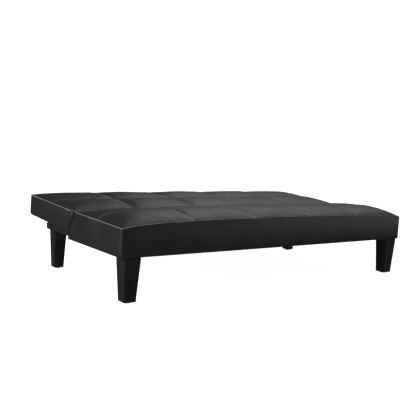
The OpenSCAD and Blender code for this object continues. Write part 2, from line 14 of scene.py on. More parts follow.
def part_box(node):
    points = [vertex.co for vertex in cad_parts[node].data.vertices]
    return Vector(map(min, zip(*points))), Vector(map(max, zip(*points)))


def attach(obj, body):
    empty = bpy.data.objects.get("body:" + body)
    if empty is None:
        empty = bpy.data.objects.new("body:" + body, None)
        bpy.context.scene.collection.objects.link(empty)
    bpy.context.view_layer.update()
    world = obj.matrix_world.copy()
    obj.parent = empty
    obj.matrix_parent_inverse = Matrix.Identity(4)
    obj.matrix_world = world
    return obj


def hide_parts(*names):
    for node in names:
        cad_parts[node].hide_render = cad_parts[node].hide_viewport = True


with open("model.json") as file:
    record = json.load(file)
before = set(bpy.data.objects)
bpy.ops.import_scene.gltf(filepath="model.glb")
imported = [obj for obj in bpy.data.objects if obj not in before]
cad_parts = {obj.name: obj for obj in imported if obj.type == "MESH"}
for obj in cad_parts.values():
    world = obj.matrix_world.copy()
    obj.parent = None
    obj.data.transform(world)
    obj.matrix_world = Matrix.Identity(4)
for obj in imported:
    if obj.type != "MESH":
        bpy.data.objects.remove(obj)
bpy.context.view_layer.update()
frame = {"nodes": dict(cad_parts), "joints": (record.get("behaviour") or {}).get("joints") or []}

# ---------- sizes that follow the CAD source ----------

# A cushion is drawn in its own axes: x along the sofa, r away from the fold line and w up from it
PIVOT = Vector(frame["joints"][0]["pos_m"])
BACK_TILT = math.radians(3.2)
# Slope of the split between the cushions, from the vertical
SPLIT_SLANT = math.radians(26.5)
HALF_LENGTH = 0.930
CORNER_R = 0.018
# Rounded top of each fold face: its radius and how far its centre lies from the fold line
FOLD_R = 0.025
FOLD_CENTRE_R = 0.031
# Cover turned in under the frame
HEM_W = 0.030
HEM_LIFT = 0.0005

# ---------- the cushions' grid ----------

COLUMN_SEAMS = (-0.558, -0.186, 0.186, 0.558)
PANEL_CELLS = 42
END_CELLS = 38
ROW_CELLS = 26
SIDE_CELLS = 16
HEM_CELLS = 3
# Openings for the hinge plates in the fold faces, along x
SLOT_FROM = 0.904
SLOT_TO = 0.9225
# How far round the fold's rounded top the seam lies
FOLD_SEAM_ANGLE = math.radians(60)

# ---------- how the covers lie over the foam ----------

# The outer top seam climbs away from each end, a little less to the right, and waves slightly
EDGE_RUN = 0.16
EDGE_FADE = 0.45
EDGE_FADE_FROM = -0.2
EDGE_FADE_LENGTH = 1.1
EDGE_WAVE = 0.0022
# The top rises from the end seams over a short run and falls off to both long seams
DOME_RUN = 0.045
DOME_OUTER_POWER = 0.75
DOME_FOLD_POWER = 1.15
# Stuffed panels, and the dips where cross seams meet the middle seam
CROWN_POWER = 0.42
CROWN_VARIETY = 0.10
DIP_DEPTH = 0.006
DIP_LENGTH = 0.030
DIP_SHARE = 0.06
# Plain sides: bulge, pull-in at the bottom and lean towards the top seam
BELLY = 0.005
BELLY_STRETCH = 1.02
BELLY_END_POWER = 0.4
BELLY_END_MARGIN = 0.02
FOOT = 0.005
FOOT_SHARE = 0.16
LEAN = 0.002
# Limits: the ceiling with a soft start below it, and the wedge that the fold needs free
CEILING_Z = 0.398
CEILING_SOFT = 0.006
WEDGE_SLOPE = math.tan(math.radians(53.0))
WEDGE_FLOOR = 0.012
WEDGE_REACH = 0.2

SEAT = {
    "name": "seat_cushion",
    "body": "base",
    "matrix": Matrix.Translation(PIVOT) @ Matrix.Diagonal((1, -1, 1, 1)),
    "slant": SPLIT_SLANT,
    "outer_r": 0.487,
    "bottom": -0.122,
    "edge": 0.020,
    "edge_rise": 0.014,
    "end_drop": 0.011,
    "dome": 0.034,
    "crowns": (0.008, 0.005),
    "slot": (-0.063, 0.015),
    "seed": 3,
}
BACK = {
    "name": "back_cushion",
    "body": "backrest",
    "matrix": Matrix.Translation(PIVOT) @ Matrix.Rotation(BACK_TILT, 4, "X"),
    "slant": -(SPLIT_SLANT - BACK_TILT),
    "outer_r": 0.5488,
    "bottom": -0.090,
    "edge": 0.022,
    "edge_rise": 0.003,
    "end_drop": 0.004,
    "dome": 0.013,
    "crowns": (0.007, 0.010),
    "slot": (-0.062, 0.015),
    "seed": 8,
}


def smooth(t):
    """0 to 1 with flat ends."""
    t = np.clip(t, 0, 1)
    return t * t * (3 - 2 * t)


def new_object(name, coords, faces):
    """Smooth-shaded mesh object, linked to the scene."""
    mesh = bpy.data.meshes.new(name)
    mesh.from_pydata([tuple(c) for c in coords], [], faces)
    for face in mesh.polygons:
        face.use_smooth = True
    obj = bpy.data.objects.new(name, mesh)
    bpy.context.scene.collection.objects.link(obj)
    return obj


class Waves:
    """Smooth, repeatable one-dimensional noise as a sum of a few sines."""

    def __init__(self, seed, shortest, longest, count=7):
        rng = np.random.default_rng(seed)
        lengths = np.exp(rng.uniform(math.log(shortest), math.log(longest), count))
        self.freq = 2 * math.pi / lengths
        self.phase = rng.uniform(0, 2 * math.pi, count)
        self.size = lengths / lengths.sum()

    def __call__(self, s):
        s = np.asarray(s, float)[..., None]
        return (self.size * np.sin(self.freq * s + self.phase)).sum(-1)


def column_lines():
    """x of every grid line along the cushion, with lines on the seams and slot edges."""
    mid = np.linspace(COLUMN_SEAMS[0], COLUMN_SEAMS[-1], 3 * PANEL_CELLS + 1)
    end = np.linspace(COLUMN_SEAMS[-1], SLOT_FROM, END_CELLS + 1)[1:]
    tip = np.array([(SLOT_FROM + SLOT_TO) / 2, SLOT_TO, HALF_LENGTH])
    right = np.concatenate([end, tip])
    return np.concatenate([-right[::-1], mid, right])


COLUMNS = column_lines()
NX = len(COLUMNS) - 1
NY = 2 * ROW_CELLS
NZ = SIDE_CELLS
SEAM_COLUMNS = [int(np.argmin(abs(COLUMNS - x))) for x in COLUMN_SEAMS]
SLOT_COLUMNS = [i for i in range(NX)
                if SLOT_FROM - 1e-6 < abs((COLUMNS[i] + COLUMNS[i + 1]) / 2) < SLOT_TO]


def fold_profile(cushion, h):
    """Point (r, w) of the fold face at a share h of its length, from the bottom to the seam."""
    slant = cushion["slant"]
    centre = np.array([FOLD_CENTRE_R, 0.0])
    start = centre + FOLD_R * np.array([-math.cos(slant), math.sin(slant)])
    drop = start[1] - cushion["bottom"]
    straight = drop / math.cos(slant)
    low = np.array([start[0] - drop * math.tan(slant), cushion["bottom"]])
    curved = FOLD_R * (FOLD_SEAM_ANGLE - slant)
    s = h * (straight + curved)
    if s <= straight:
        return low + (start - low) * s / straight
    angle = slant + (s - straight) / FOLD_R
    return centre + FOLD_R * np.array([-math.cos(angle), math.sin(angle)])


def end_distance(x):
    return HALF_LENGTH - abs(x)


def edge_height(cushion, x):
    """Height of the outer top seam, lower at the ends than between them."""
    rise = 1 - math.exp(-end_distance(x) / EDGE_RUN)
    fade = 1 - EDGE_FADE * smooth((x - EDGE_FADE_FROM) / EDGE_FADE_LENGTH)
    wave = EDGE_WAVE * float(cushion["edge_wave"](x))
    climb = (cushion["end_drop"] + cushion["edge_rise"] * fade) * rise
    return cushion["edge"] - cushion["end_drop"] + climb + wave


def top_height(cushion, x, v):
    """Height of the seam net over the top: v is 0 at the outer seam and 1 at the fold."""
    fold_w = FOLD_R * math.sin(FOLD_SEAM_ANGLE)
    base = edge_height(cushion, x) * (1 - v) + fold_w * v
    along = 1 - math.exp(-end_distance(x) / DOME_RUN)
    if v < 0.5:
        across = math.sin(math.pi * v) ** DOME_OUTER_POWER
    else:
        across = 1 - (2 * v - 1) ** DOME_FOLD_POWER
    return base + cushion["dome"] * along * across


def panel_share(x, v):
    """Places along and across a tufted panel, from 0 to 1, and the panel's column and row."""
    bounds = (-HALF_LENGTH,) + COLUMN_SEAMS + (HALF_LENGTH,)
    k = max(i for i in range(len(COLUMN_SEAMS) + 1) if x >= bounds[i] - 1e-9)
    a = (x - bounds[k]) / (bounds[k + 1] - bounds[k])
    b = (v * 2) % 1 if v < 1 else 1.0
    return min(max(a, 0), 1), b, k, int(v * 2 >= 1)


def crown_height(cushion, x, v):
    """Rise of a stuffed panel over the seam net."""
    a, b, k, row = panel_share(x, v)
    bulge = (4 * a * (1 - a)) ** CROWN_POWER * (4 * b * (1 - b)) ** CROWN_POWER
    vary = 1 + CROWN_VARIETY * math.sin(2.3 * k + 1.7 * row + cushion["seed"])
    return cushion["crowns"][row] * vary * bulge


def seam_dip(x, v):
    """Extra depth where a cross seam meets the middle seam."""
    near = min(abs(x - c) for c in COLUMN_SEAMS)
    along = math.exp(-(near / DIP_LENGTH) ** 2)
    across = math.exp(-((v - 0.5) / DIP_SHARE) ** 2)
    return DIP_DEPTH * along * across


def cushion_point(cushion, i, j, k):
    """Place (x, r, w) of a grid point on the cushion's outside."""
    x, v, h = COLUMNS[i], j / NY, k / NZ
    fold_r, fold_w = fold_profile(cushion, h)
    outer_w = cushion["bottom"] + h * (edge_height(cushion, x) - cushion["bottom"])
    belly = BELLY * math.sin(math.pi * min(h * BELLY_STRETCH, 1))
    foot = FOOT * (1 - smooth(h / FOOT_SHARE))
    outer_r = cushion["outer_r"] + belly - foot - LEAN * h
    r = outer_r + (fold_r - outer_r) * v
    w = outer_w + (fold_w - outer_w) * v
    if 0 < j < NY and k == NZ and 0 < i < NX:
        w = top_height(cushion, x, v) + crown_height(cushion, x, v) - seam_dip(x, v)
    if i in (0, NX):
        side = 1 if i else -1
        inner_v = min(max(v, BELLY_END_MARGIN), 1 - BELLY_END_MARGIN)
        out = belly * math.sin(math.pi * inner_v) ** BELLY_END_POWER
        x = side * (HALF_LENGTH - LEAN * h - foot + out)
    x, r = round_corner(cushion, x, r)
    return x, r, w


def round_corner(cushion, x, r):
    """Pull a point near an outer vertical corner in to the corner's round."""
    cx, cr = HALF_LENGTH - CORNER_R, cushion["outer_r"] - CORNER_R
    dx, dr = abs(x) - cx, r - cr
    far = math.hypot(dx, dr)
    if dx > 0 and dr > 0 and far > CORNER_R:
        x = math.copysign(cx + dx * CORNER_R / far, x)
        r = cr + dr * CORNER_R / far
    return x, r


def grid_faces():
    """Every grid face on the outside, as four (i, j, k) corners wound outwards."""
    for i in range(NX):
        for j in range(NY):
            yield (i, j, NZ), (i, j + 1, NZ), (i + 1, j + 1, NZ), (i + 1, j, NZ)
        for k in range(NZ):
            yield (i, 0, k), (i, 0, k + 1), (i + 1, 0, k + 1), (i + 1, 0, k)
            yield (i, NY, k), (i + 1, NY, k), (i + 1, NY, k + 1), (i, NY, k + 1)
    for j in range(NY):
        for k in range(NZ):
            yield (0, j, k), (0, j + 1, k), (0, j + 1, k + 1), (0, j, k + 1)
            yield (NX, j, k), (NX, j, k + 1), (NX, j + 1, k + 1), (NX, j + 1, k)


def in_slot(cushion, face, place):
    """True for a face of the fold side that lies in a hinge slot."""
    if any(j != NY for _, j, _ in face):
        return False
    if min(i for i, _, _ in face) not in SLOT_COLUMNS:
        return False
    w = sum(place[c][2] for c in face) / 4
    return cushion["slot"][0] < w < cushion["slot"][1]


def hem_ring(place):
    """Grid points round the bottom rim, in order, with the least and greatest r of the rim."""
    ring = [(i, 0, 0) for i in range(NX)] + [(NX, j, 0) for j in range(NY)]
    ring += [(i, NY, 0) for i in range(NX, 0, -1)] + [(0, j, 0) for j in range(NY, 0, -1)]
    r_values = [place[c][1] for c in ring]
    r_low, r_high = min(r_values), max(r_values)
    return ring, r_low, r_high


def build_cushion(cushion):
    """Object of a cushion before it is stuffed; its grid points' numbers go in the cushion."""
    cushion["edge_wave"] = Waves(cushion["seed"], 0.10, 0.60)
    place, index, coords, faces = {}, {}, [], []
    for face in grid_faces():
        for c in face:
            if c not in place:
                place[c] = cushion_point(cushion, *c)
    flip = cushion["matrix"].determinant() < 0

    def vertex(c, p=None):
        if c not in index:
            index[c] = len(coords)
            coords.append(p or place[c])
        return index[c]

    for face in grid_faces():
        if not in_slot(cushion, face, place):
            loop = [vertex(c) for c in face]
            faces.append(loop[::-1] if flip else loop)
    ring, r_low, r_high = hem_ring(place)
    middle, half_depth = (r_low + r_high) / 2, (r_high - r_low) / 2
    for step in range(HEM_CELLS):
        a, b = step / HEM_CELLS, (step + 1) / HEM_CELLS
        for n, c in enumerate(ring):
            d = ring[(n + 1) % len(ring)]
            loop = []
            for corner, t in ((c, a), (d, a), (d, b), (c, b)):
                if t == 0:
                    loop.append(vertex(corner))
                    continue
                x, r, w = place[corner]
                inner_x = x * (1 - HEM_W / HALF_LENGTH)
                inner_r = middle + (r - middle) * (1 - HEM_W / half_depth)
                spot = (x + (inner_x - x) * t, r + (inner_r - r) * t, w + HEM_LIFT)
                loop.append(vertex(corner + (step + (0 if t == a else 1),), spot))
            faces.append(loop[::-1] if flip else loop)
    obj = new_object(cushion["name"], [cushion["matrix"] @ Vector(p) for p in coords], faces)
    obj.data.validate()
    bm = bmesh.new()
    bm.from_mesh(obj.data)
    bmesh.ops.recalc_face_normals(bm, faces=bm.faces)
    bm.to_mesh(obj.data)
    bm.free()
    cushion["index"] = index
    return obj


def pinned_points(cushion):
    """Grid points that the frame or a seam holds."""
    held = []
    for c, n in cushion["index"].items():
        i, j, k = c[:3]
        seam = k == NZ and (i in (0, NX) or j in (0, NY, ROW_CELLS) or i in SEAM_COLUMNS)
        if len(c) > 3 or k < NZ or seam:
            held.append(n)
    return held


def mesh_points(mesh):
    points = np.empty(len(mesh.vertices) * 3)
    mesh.vertices.foreach_get("co", points)
    return points.reshape(-1, 3)


def stuff(obj, held, pressure, shrink, frames, reach):
    """Blow the cover up against its seams with a cloth simulation and keep the result."""
    group = obj.vertex_groups.new(name="held")
    group.add(held, 1.0, "REPLACE")
    before = mesh_points(obj.data)
    cloth = obj.modifiers.new("stuffing", "CLOTH")
    cloth.settings.quality = 5
    cloth.settings.mass = 0.25
    cloth.settings.tension_stiffness = 25
    cloth.settings.compression_stiffness = 12
    cloth.settings.shear_stiffness = 10
    cloth.settings.bending_stiffness = 0.6
    cloth.settings.air_damping = 4
    cloth.settings.vertex_group_mass = "held"
    cloth.settings.pin_stiffness = 50
    cloth.settings.shrink_min = shrink
    cloth.settings.use_pressure = True
    cloth.settings.uniform_pressure_force = pressure
    cloth.settings.effector_weights.gravity = 0
    cloth.collision_settings.use_collision = False
    cloth.point_cache.frame_start = 1
    cloth.point_cache.frame_end = frames
    for step in range(1, frames + 1):
        bpy.context.scene.frame_set(step)
    graph = bpy.context.evaluated_depsgraph_get()
    result = obj.evaluated_get(graph).to_mesh()
    after = mesh_points(result)
    obj.evaluated_get(graph).to_mesh_clear()
    obj.modifiers.remove(cloth)
    obj.vertex_groups.remove(group)
    bpy.context.scene.frame_set(1)
    moved = after - before
    far = np.linalg.norm(moved, axis=1, keepdims=True)
    moved *= np.minimum(1, reach / np.maximum(far, 1e-9))
    moved[held] = 0
    return before + moved


def keep_clear(cushion, points):
    """Hold every point under the ceiling and inside the wedge that the fold needs."""
    back = np.array(cushion["matrix"].inverted())
    local = points @ back[:3, :3].T + back[:3, 3]
    r, w = local[:, 1], local[:, 2]
    limit = np.maximum(r, 0) * WEDGE_SLOPE
    near = (w > WEDGE_FLOOR) & (w > limit) & (r < WEDGE_REACH)
    local[near, 2] = np.maximum(limit[near], WEDGE_FLOOR)
    there = np.array(cushion["matrix"])
    world = local @ there[:3, :3].T + there[:3, 3]
    soft_z = CEILING_Z - CEILING_SOFT
    high = world[:, 2] > soft_z
    over = world[high, 2] - soft_z
    world[high, 2] = soft_z + CEILING_SOFT * (1 - np.exp(-over / CEILING_SOFT))
    return world


def make_cushion(cushion):
    """Finished cushion: stuffed, kept clear, smoothed and set on its body."""
    obj = build_cushion(cushion)
    held = pinned_points(cushion)
    points = stuff(obj, held, pressure=2.0, shrink=-0.004, frames=20, reach=0.007)
    points = keep_clear(cushion, points)
    obj.data.vertices.foreach_set("co", points.ravel())
    obj.data.update()
    cushion["points"] = points
    level = obj.modifiers.new("smooth", "SUBSURF")
    level.levels = 1
    level.render_levels = 1
    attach(obj, cushion["body"])
    return obj


# ---------- stitching ----------

STITCH_PITCH = 0.0072
STITCH_L = 0.0052
STITCH_LIFT = 0.0012
STITCH_SINK = 0.0010
THREAD_R = 0.00075
THREAD_SIDES = 6
# Rings of a stitch: place along it as a share of its length, and width as a share of the thread
STITCH_RINGS = ((-0.5, 0.35), (-0.36, 0.9), (0, 1.0), (0.36, 0.9), (0.5, 0.35))


def seam_paths(cushion):
    """Points of every seam on the top, as grid corners in order."""
    paths = [[(i, 0, NZ) for i in range(NX + 1)], [(i, NY, NZ) for i in range(NX + 1)]]
    paths += [[(i, j, NZ) for j in range(NY + 1)] for i in (0, NX)]
    paths.append([(i, ROW_CELLS, NZ) for i in range(NX + 1)])
    paths += [[(i, j, NZ) for j in range(NY + 1)] for i in SEAM_COLUMNS]
    return [np.array([cushion["points"][cushion["index"][c]] for c in p]) for p in paths]


def resample(path, pitch):
    """Evenly spaced points and directions along a path."""
    steps = np.linalg.norm(np.diff(path, axis=0), axis=1)
    length = np.concatenate([[0], np.cumsum(steps)])
    places = np.arange(pitch / 2, length[-1], pitch)

    def points_at(lengths):
        return np.stack([np.interp(lengths, length, path[:, a]) for a in range(3)], axis=1)

    way = points_at(places + pitch / 4) - points_at(places - pitch / 4)
    return points_at(places), way / np.linalg.norm(way, axis=1, keepdims=True)


def add_stitch(coords, faces, middle, way):
    """One rounded stitch whose ends dive into the leather."""
    across = np.cross(way, (0, 0, 1))
    across /= np.linalg.norm(across)
    up = np.cross(across, way)
    first = len(coords)
    for along, wide in STITCH_RINGS:
        sink = STITCH_SINK * (2 * along) ** 2
        for n in range(THREAD_SIDES):
            angle = 2 * math.pi * n / THREAD_SIDES
            offset = across * math.cos(angle) + up * math.sin(angle)
            spot = middle + way * along * STITCH_L + offset * wide * THREAD_R
            coords.append(spot - up * sink)
    last = len(coords) - THREAD_SIDES
    for a in range(first, last, THREAD_SIDES):
        b = a + THREAD_SIDES
        for n in range(THREAD_SIDES):
            m = (n + 1) % THREAD_SIDES
            faces.append((a + n, a + m, b + m, b + n))
    faces.append(tuple(first + n for n in reversed(range(THREAD_SIDES))))
    faces.append(tuple(last + n for n in range(THREAD_SIDES)))


def make_stitching(cushion):
    """Thread along every top seam of a cushion, as one piece."""
    coords, faces = [], []
    for path in seam_paths(cushion):
        for middle, way in zip(*resample(path, STITCH_PITCH)):
            add_stitch(coords, faces, middle + np.array([0, 0, STITCH_LIFT]), way)
    obj = new_object(cushion["name"].replace("cushion", "stitching"), coords, faces)
    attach(obj, cushion["body"])
    return obj


# ---------- dust covers ----------

# Cloth turned up past the CAD cover on every side
TUCK = 0.004
TUCK_LIFT = 0.0012
TUCK_RUN = 0.006
CLOTH_THICK = 0.0007
CLOTH_GAP = 0.0002
CLOTH_COLUMNS = 150
CLOTH_ROWS = 40
# The cloth sags between the cross beams, starting a little way in from its staples
BEAM_PITCH = 0.45
BEAM_SAG = 0.45
SAG_MARGIN = 0.02
SAG_RUN = 0.09
HOLD_RUN = 0.08
RIPPLE = 0.0005
RIPPLE_RUN = 0.03
RIPPLE_SEED = 8


def local_box(node, matrix):
    """Lowest and highest corners of a CAD node in the axes of a matrix."""
    inverse = matrix.inverted()
    corners = [inverse @ v.co for v in frame["nodes"][node].data.vertices]
    low = Vector([min(c[a] for c in corners) for a in range(3)])
    high = Vector([max(c[a] for c in corners) for a in range(3)])
    return low, high


def rim_loop(columns, rows):
    """Point numbers round the rim of a grid stored row by row."""
    loop = list(range(columns + 1))
    loop += [j * (columns + 1) + columns for j in range(1, rows + 1)]
    loop += [rows * (columns + 1) + i for i in range(columns - 1, -1, -1)]
    loop += [j * (columns + 1) for j in range(rows - 1, 0, -1)]
    return loop


def make_dust_cover(name, node, body, sag, hold):
    """Thin cloth stapled under a frame; it sags as far as x = hold and is flat beyond it."""
    low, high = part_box(node)
    matrix = Matrix.Identity(4)
    if body == "backrest":
        matrix = BACK["matrix"]
        low, high = local_box(node, matrix)
    flat = (high.x - low.x + 2 * TUCK, high.y - low.y + 2 * TUCK)
    coords, faces = [], []
    ripple = Waves(RIPPLE_SEED, 0.08, 0.5)
    for side in range(2):
        for j in range(CLOTH_ROWS + 1):
            for i in range(CLOTH_COLUMNS + 1):
                x = low.x - TUCK + flat[0] * i / CLOTH_COLUMNS
                y = low.y - TUCK + flat[1] * j / CLOTH_ROWS
                inside = min(x - low.x, high.x - x, y - low.y, high.y - y)
                bay = abs(math.sin(math.pi * (x - BEAM_PITCH / 2) / BEAM_PITCH))
                depth = sag * smooth((inside - SAG_MARGIN) / SAG_RUN) * (BEAM_SAG + (1 - BEAM_SAG) * bay)
                depth *= 1 - smooth((abs(x) - hold + HOLD_RUN) / HOLD_RUN)
                lift = TUCK_LIFT * (1 - smooth((inside + TUCK) / TUCK_RUN))
                wave = RIPPLE * float(ripple(x * 3 + y)) * smooth(inside / RIPPLE_RUN)
                z = low.z + CLOTH_GAP + lift - depth - abs(wave) + side * CLOTH_THICK
                coords.append(matrix @ Vector((x, y, z)))
    layer = (CLOTH_ROWS + 1) * (CLOTH_COLUMNS + 1)
    for j in range(CLOTH_ROWS):
        for i in range(CLOTH_COLUMNS):
            a = j * (CLOTH_COLUMNS + 1) + i
            b = a + CLOTH_COLUMNS + 1
            faces.append((a, b, b + 1, a + 1))
            faces.append((a + layer, a + 1 + layer, b + 1 + layer, b + layer))
    rim = rim_loop(CLOTH_COLUMNS, CLOTH_ROWS)
    for a, b in zip(rim, rim[1:] + rim[:1]):
        faces.append((a, b, b + layer, a + layer))
    obj = new_object(name, coords, faces)
    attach(obj, body)
    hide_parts(node)
    return obj, flat


# ---------- materials ----------

# A Mix node has sockets for every kind of value; these are the ones for colours
MIX_COLOURS = slice(6, 8)
MIX_RESULT = 2


class Material:
    """A node material with a Principled shader and a short way to add nodes."""

    def __init__(self, name, **values):
        self.material = bpy.data.materials.new(name)
        self.material.use_nodes = True
        self.nodes = self.material.node_tree.nodes
        self.links = self.material.node_tree.links
        self.shader = self.nodes["Principled BSDF"]
        self.place = self.nodes.new("ShaderNodeTexCoord").outputs["Object"]
        for key, value in values.items():
            self.shader.inputs[key.replace("_", " ")].default_value = value

    def add(self, kind, **values):
        node = self.nodes.new("ShaderNode" + kind)
        for key, value in values.items():
            if hasattr(node, key):
                setattr(node, key, value)
                continue
            socket = node.inputs[key.replace("_", " ")]
            if isinstance(value, bpy.types.NodeSocket):
                self.links.new(value, socket)
            else:
                socket.default_value = value
        return node

    def noise(self, scale, detail=3.0, roughness=0.5, place=None):
        node = self.add("TexNoise", Scale=scale, Detail=detail, Roughness=roughness)
        self.links.new(place or self.place, node.inputs["Vector"])
        return node.outputs["Fac"]

    def cells(self, scale, feature="F1", place=None, randomness=1.0):
        node = self.add("TexVoronoi", feature=feature, Scale=scale, Randomness=randomness)
        self.links.new(place or self.place, node.inputs["Vector"])
        return node.outputs["Distance"]

    def stretched(self, x, y, z):
        node = self.add("Mapping", Vector=self.place)
        node.inputs["Scale"].default_value = (x, y, z)
        return node.outputs["Vector"]

    def map(self, value, low, high, to_low, to_high):
        node = self.add("MapRange")
        self.links.new(value, node.inputs["Value"])
        ends = {"From Min": low, "From Max": high, "To Min": to_low, "To Max": to_high}
        for key, number in ends.items():
            node.inputs[key].default_value = number
        return node.outputs["Result"]

    def math(self, operation, a, b):
        node = self.nodes.new("ShaderNodeMath")
        node.operation = operation
        for socket, value in zip(node.inputs, (a, b)):
            if isinstance(value, bpy.types.NodeSocket):
                self.links.new(value, socket)
            else:
                socket.default_value = value
        return node.outputs[0]

    def mix(self, share, a, b):
        node = self.nodes.new("ShaderNodeMix")
        node.data_type = "RGBA"
        self.links.new(share, node.inputs["Factor"])
        for socket, value in zip(node.inputs[MIX_COLOURS], (a, b)):
            if isinstance(value, bpy.types.NodeSocket):
                self.links.new(value, socket)
            else:
                socket.default_value = (*value, 1)
        return node.outputs[MIX_RESULT]

    def colour(self, value):
        self.links.new(value, self.shader.inputs["Base Color"])

    def rough(self, value):
        self.links.new(value, self.shader.inputs["Roughness"])

    def bump(self, *layers):
        """Stack bumps, each a (height, distance in metres, strength)."""
        normal = None
        for height, distance, strength in layers:
            node = self.add("Bump", Distance=distance, Strength=strength)
            self.links.new(height, node.inputs["Height"])
            if normal:
                self.links.new(normal, node.inputs["Normal"])
            normal = node.outputs["Normal"]
        self.links.new(normal, self.shader.inputs["Normal"])


def leather_material():
    """Black coated leather: pebbled grain with painted shade in the hollows between the pebbles, soft
    creases and mottling.
    """
    m = Material("faux_leather", Specular_IOR_Level=0.32)
    broad = m.noise(7, 4, 0.55)
    grain_place = m.add("VectorMath", operation="ADD")
    m.links.new(m.place, grain_place.inputs[0])
    warp = m.add("TexNoise", Scale=160, Detail=2)
    m.links.new(m.place, warp.inputs["Vector"])
    scaled = m.add("VectorMath", operation="SCALE")
    m.links.new(warp.outputs["Color"], scaled.inputs[0])
    scaled.inputs["Scale"].default_value = 0.0022
    m.links.new(scaled.outputs["Vector"], grain_place.inputs[1])
    pebble = m.cells(390, "SMOOTH_F1", grain_place.outputs["Vector"])
    fine = m.noise(1500, 2)
    crease = m.noise(42, 5, 0.6)
    mottle = m.noise(130, 4, 0.65)
    tone = m.mix(m.map(broad, 0.35, 0.65, 0, 1), (0.0060, 0.0060, 0.0065), (0.0100, 0.0100, 0.0106))
    pores = m.map(pebble, 0.1, 0.75, 1, 0)
    # Painted shade: the colour goes darker towards the edges of each pebble, down in the hollows of the
    # grain
    m.colour(m.mix(m.map(pebble, 0.25, 0.8, 0, 0.75), tone, (0.003, 0.003, 0.0034)))
    m.rough(m.math("ADD", m.map(broad, 0.3, 0.7, 0.30, 0.40), m.map(pebble, 0, 0.8, -0.04, 0.10)))
    m.bump((crease, 0.0010, 0.25), (mottle, 0.0012, 0.4), (pores, 0.00045, 0.9), (fine, 0.00008, 0.35))
    return m.material


def thread_material():
    """Twisted grey sewing thread."""
    m = Material("stitch_thread", Roughness=0.62, Sheen_Weight=0.3)
    strand = m.add("TexWave", Scale=420, Distortion=1.5)
    m.links.new(m.place, strand.inputs["Vector"])
    m.colour(m.mix(strand.outputs["Fac"], (0.22, 0.22, 0.225), (0.36, 0.36, 0.365)))
    m.bump((strand.outputs["Fac"], 0.0002, 0.5))
    return m.material


def cloth_material():
    """Black non-woven cloth with a pattern of pressed dots."""
    m = Material("dust_cloth", Roughness=0.95, Sheen_Weight=0.03)
    dots = m.cells(520, "F1", randomness=0.15)
    fibre = m.noise(240, 6, 0.7)
    m.colour(m.mix(m.map(fibre, 0.3, 0.7, 0, 1), (0.005, 0.005, 0.0055), (0.012, 0.012, 0.013)))
    m.bump((fibre, 0.0006, 0.5), (m.map(dots, 0.1, 0.4, 0, 1), 0.0004, 0.6))
    return m.material


def painted_material(name, dark, light, rough, grain):
    """Satin black paint with an orange-peel surface, faint streaks and uneven gloss."""
    m = Material(name, Specular_IOR_Level=0.25)
    broad = m.noise(14, 5, 0.6)
    peel = m.noise(grain, 3, 0.5)
    streak = m.noise(60, 4, 0.6, m.stretched(1, 1, 0.08))
    m.colour(m.mix(m.map(broad, 0.3, 0.7, 0, 1), dark, light))
    worn = m.map(broad, 0.3, 0.7, rough - 0.05, rough + 0.07)
    m.rough(m.math("ADD", worn, m.map(streak, 0.3, 0.7, -0.03, 0.05)))
    m.bump((streak, 0.0005, 0.18), (peel, 0.00025, 0.45))
    return m.material


def pine_material():
    """Raw pine with its grain along the sofa."""
    m = Material("frame_pine", Roughness=0.72)
    stretched = m.stretched(1, 14, 14)
    rings = m.add("TexWave", Scale=5, Distortion=6, bands_direction="Z")
    rings.inputs["Detail"].default_value = 3
    m.links.new(stretched, rings.inputs["Vector"])
    fibre = m.noise(180, 4, 0.6, m.stretched(0.05, 1, 1))
    tone = m.mix(rings.outputs["Fac"], (0.52, 0.33, 0.16), (0.68, 0.49, 0.27))
    m.colour(m.mix(m.map(fibre, 0.35, 0.7, 0, 0.5), tone, (0.40, 0.24, 0.11)))
    m.bump((fibre, 0.0006, 0.4))
    return m.material


def metal_material(name, dark, light, rough, scale):
    """Cloudy plated or bare steel with a fine drawn grain."""
    m = Material(name, Metallic=1.0)
    broad = m.noise(30, 5, 0.6)
    grain = m.noise(scale, 3, 0.6, m.stretched(0.2, 1, 1))
    m.colour(m.mix(m.map(broad, 0.3, 0.7, 0, 1), dark, light))
    worn = m.map(broad, 0.3, 0.7, rough - 0.06, rough + 0.1)
    m.rough(m.math("ADD", worn, m.map(grain, 0.3, 0.7, -0.03, 0.05)))
    m.bump((grain, 0.0001, 0.4))
    return m.material


def soft_plastic_material(name, dark, light, rough, scale):
    """Dull speckled plastic or rubber."""
    m = Material(name)
    speck = m.noise(scale, 4, 0.6)
    m.colour(m.mix(m.map(speck, 0.3, 0.7, 0, 1), dark, light))
    m.rough(m.map(speck, 0.3, 0.7, rough - 0.06, rough + 0.06))
    m.bump((speck, 0.0003, 0.4))
    return m.material


def make_materials():
    """Every finish by name."""
    return {
        "faux_leather": leather_material(),
        "thread": thread_material(),
        "dust_cloth": cloth_material(),
        "leg_black": painted_material(
            "leg_black", (0.0032, 0.0032, 0.0035), (0.0058, 0.0058, 0.0062), 0.46, 900),
        "rail_black": painted_material(
            "rail_black", (0.0045, 0.0045, 0.0048), (0.0075, 0.0075, 0.0078), 0.5, 1300),
        "frame_pine": pine_material(),
        "hinge_steel": metal_material(
            "hinge_steel", (0.16, 0.16, 0.17), (0.26, 0.26, 0.27), 0.42, 300),
        "zinc_steel": metal_material(
            "zinc_steel", (0.50, 0.51, 0.53), (0.66, 0.66, 0.67), 0.34, 500),
        "spring_wire": metal_material(
            "spring_wire", (0.09, 0.09, 0.10), (0.17, 0.17, 0.18), 0.38, 700),
        "glide_plastic": soft_plastic_material(
            "glide_plastic", (0.02, 0.02, 0.021), (0.035, 0.035, 0.037), 0.5, 1100),
        "bumper_rubber": soft_plastic_material(
            "bumper_rubber", (0.013, 0.013, 0.013), (0.024, 0.024, 0.024), 0.8, 800),
    }


# ---------- CAD nodes that stay ----------

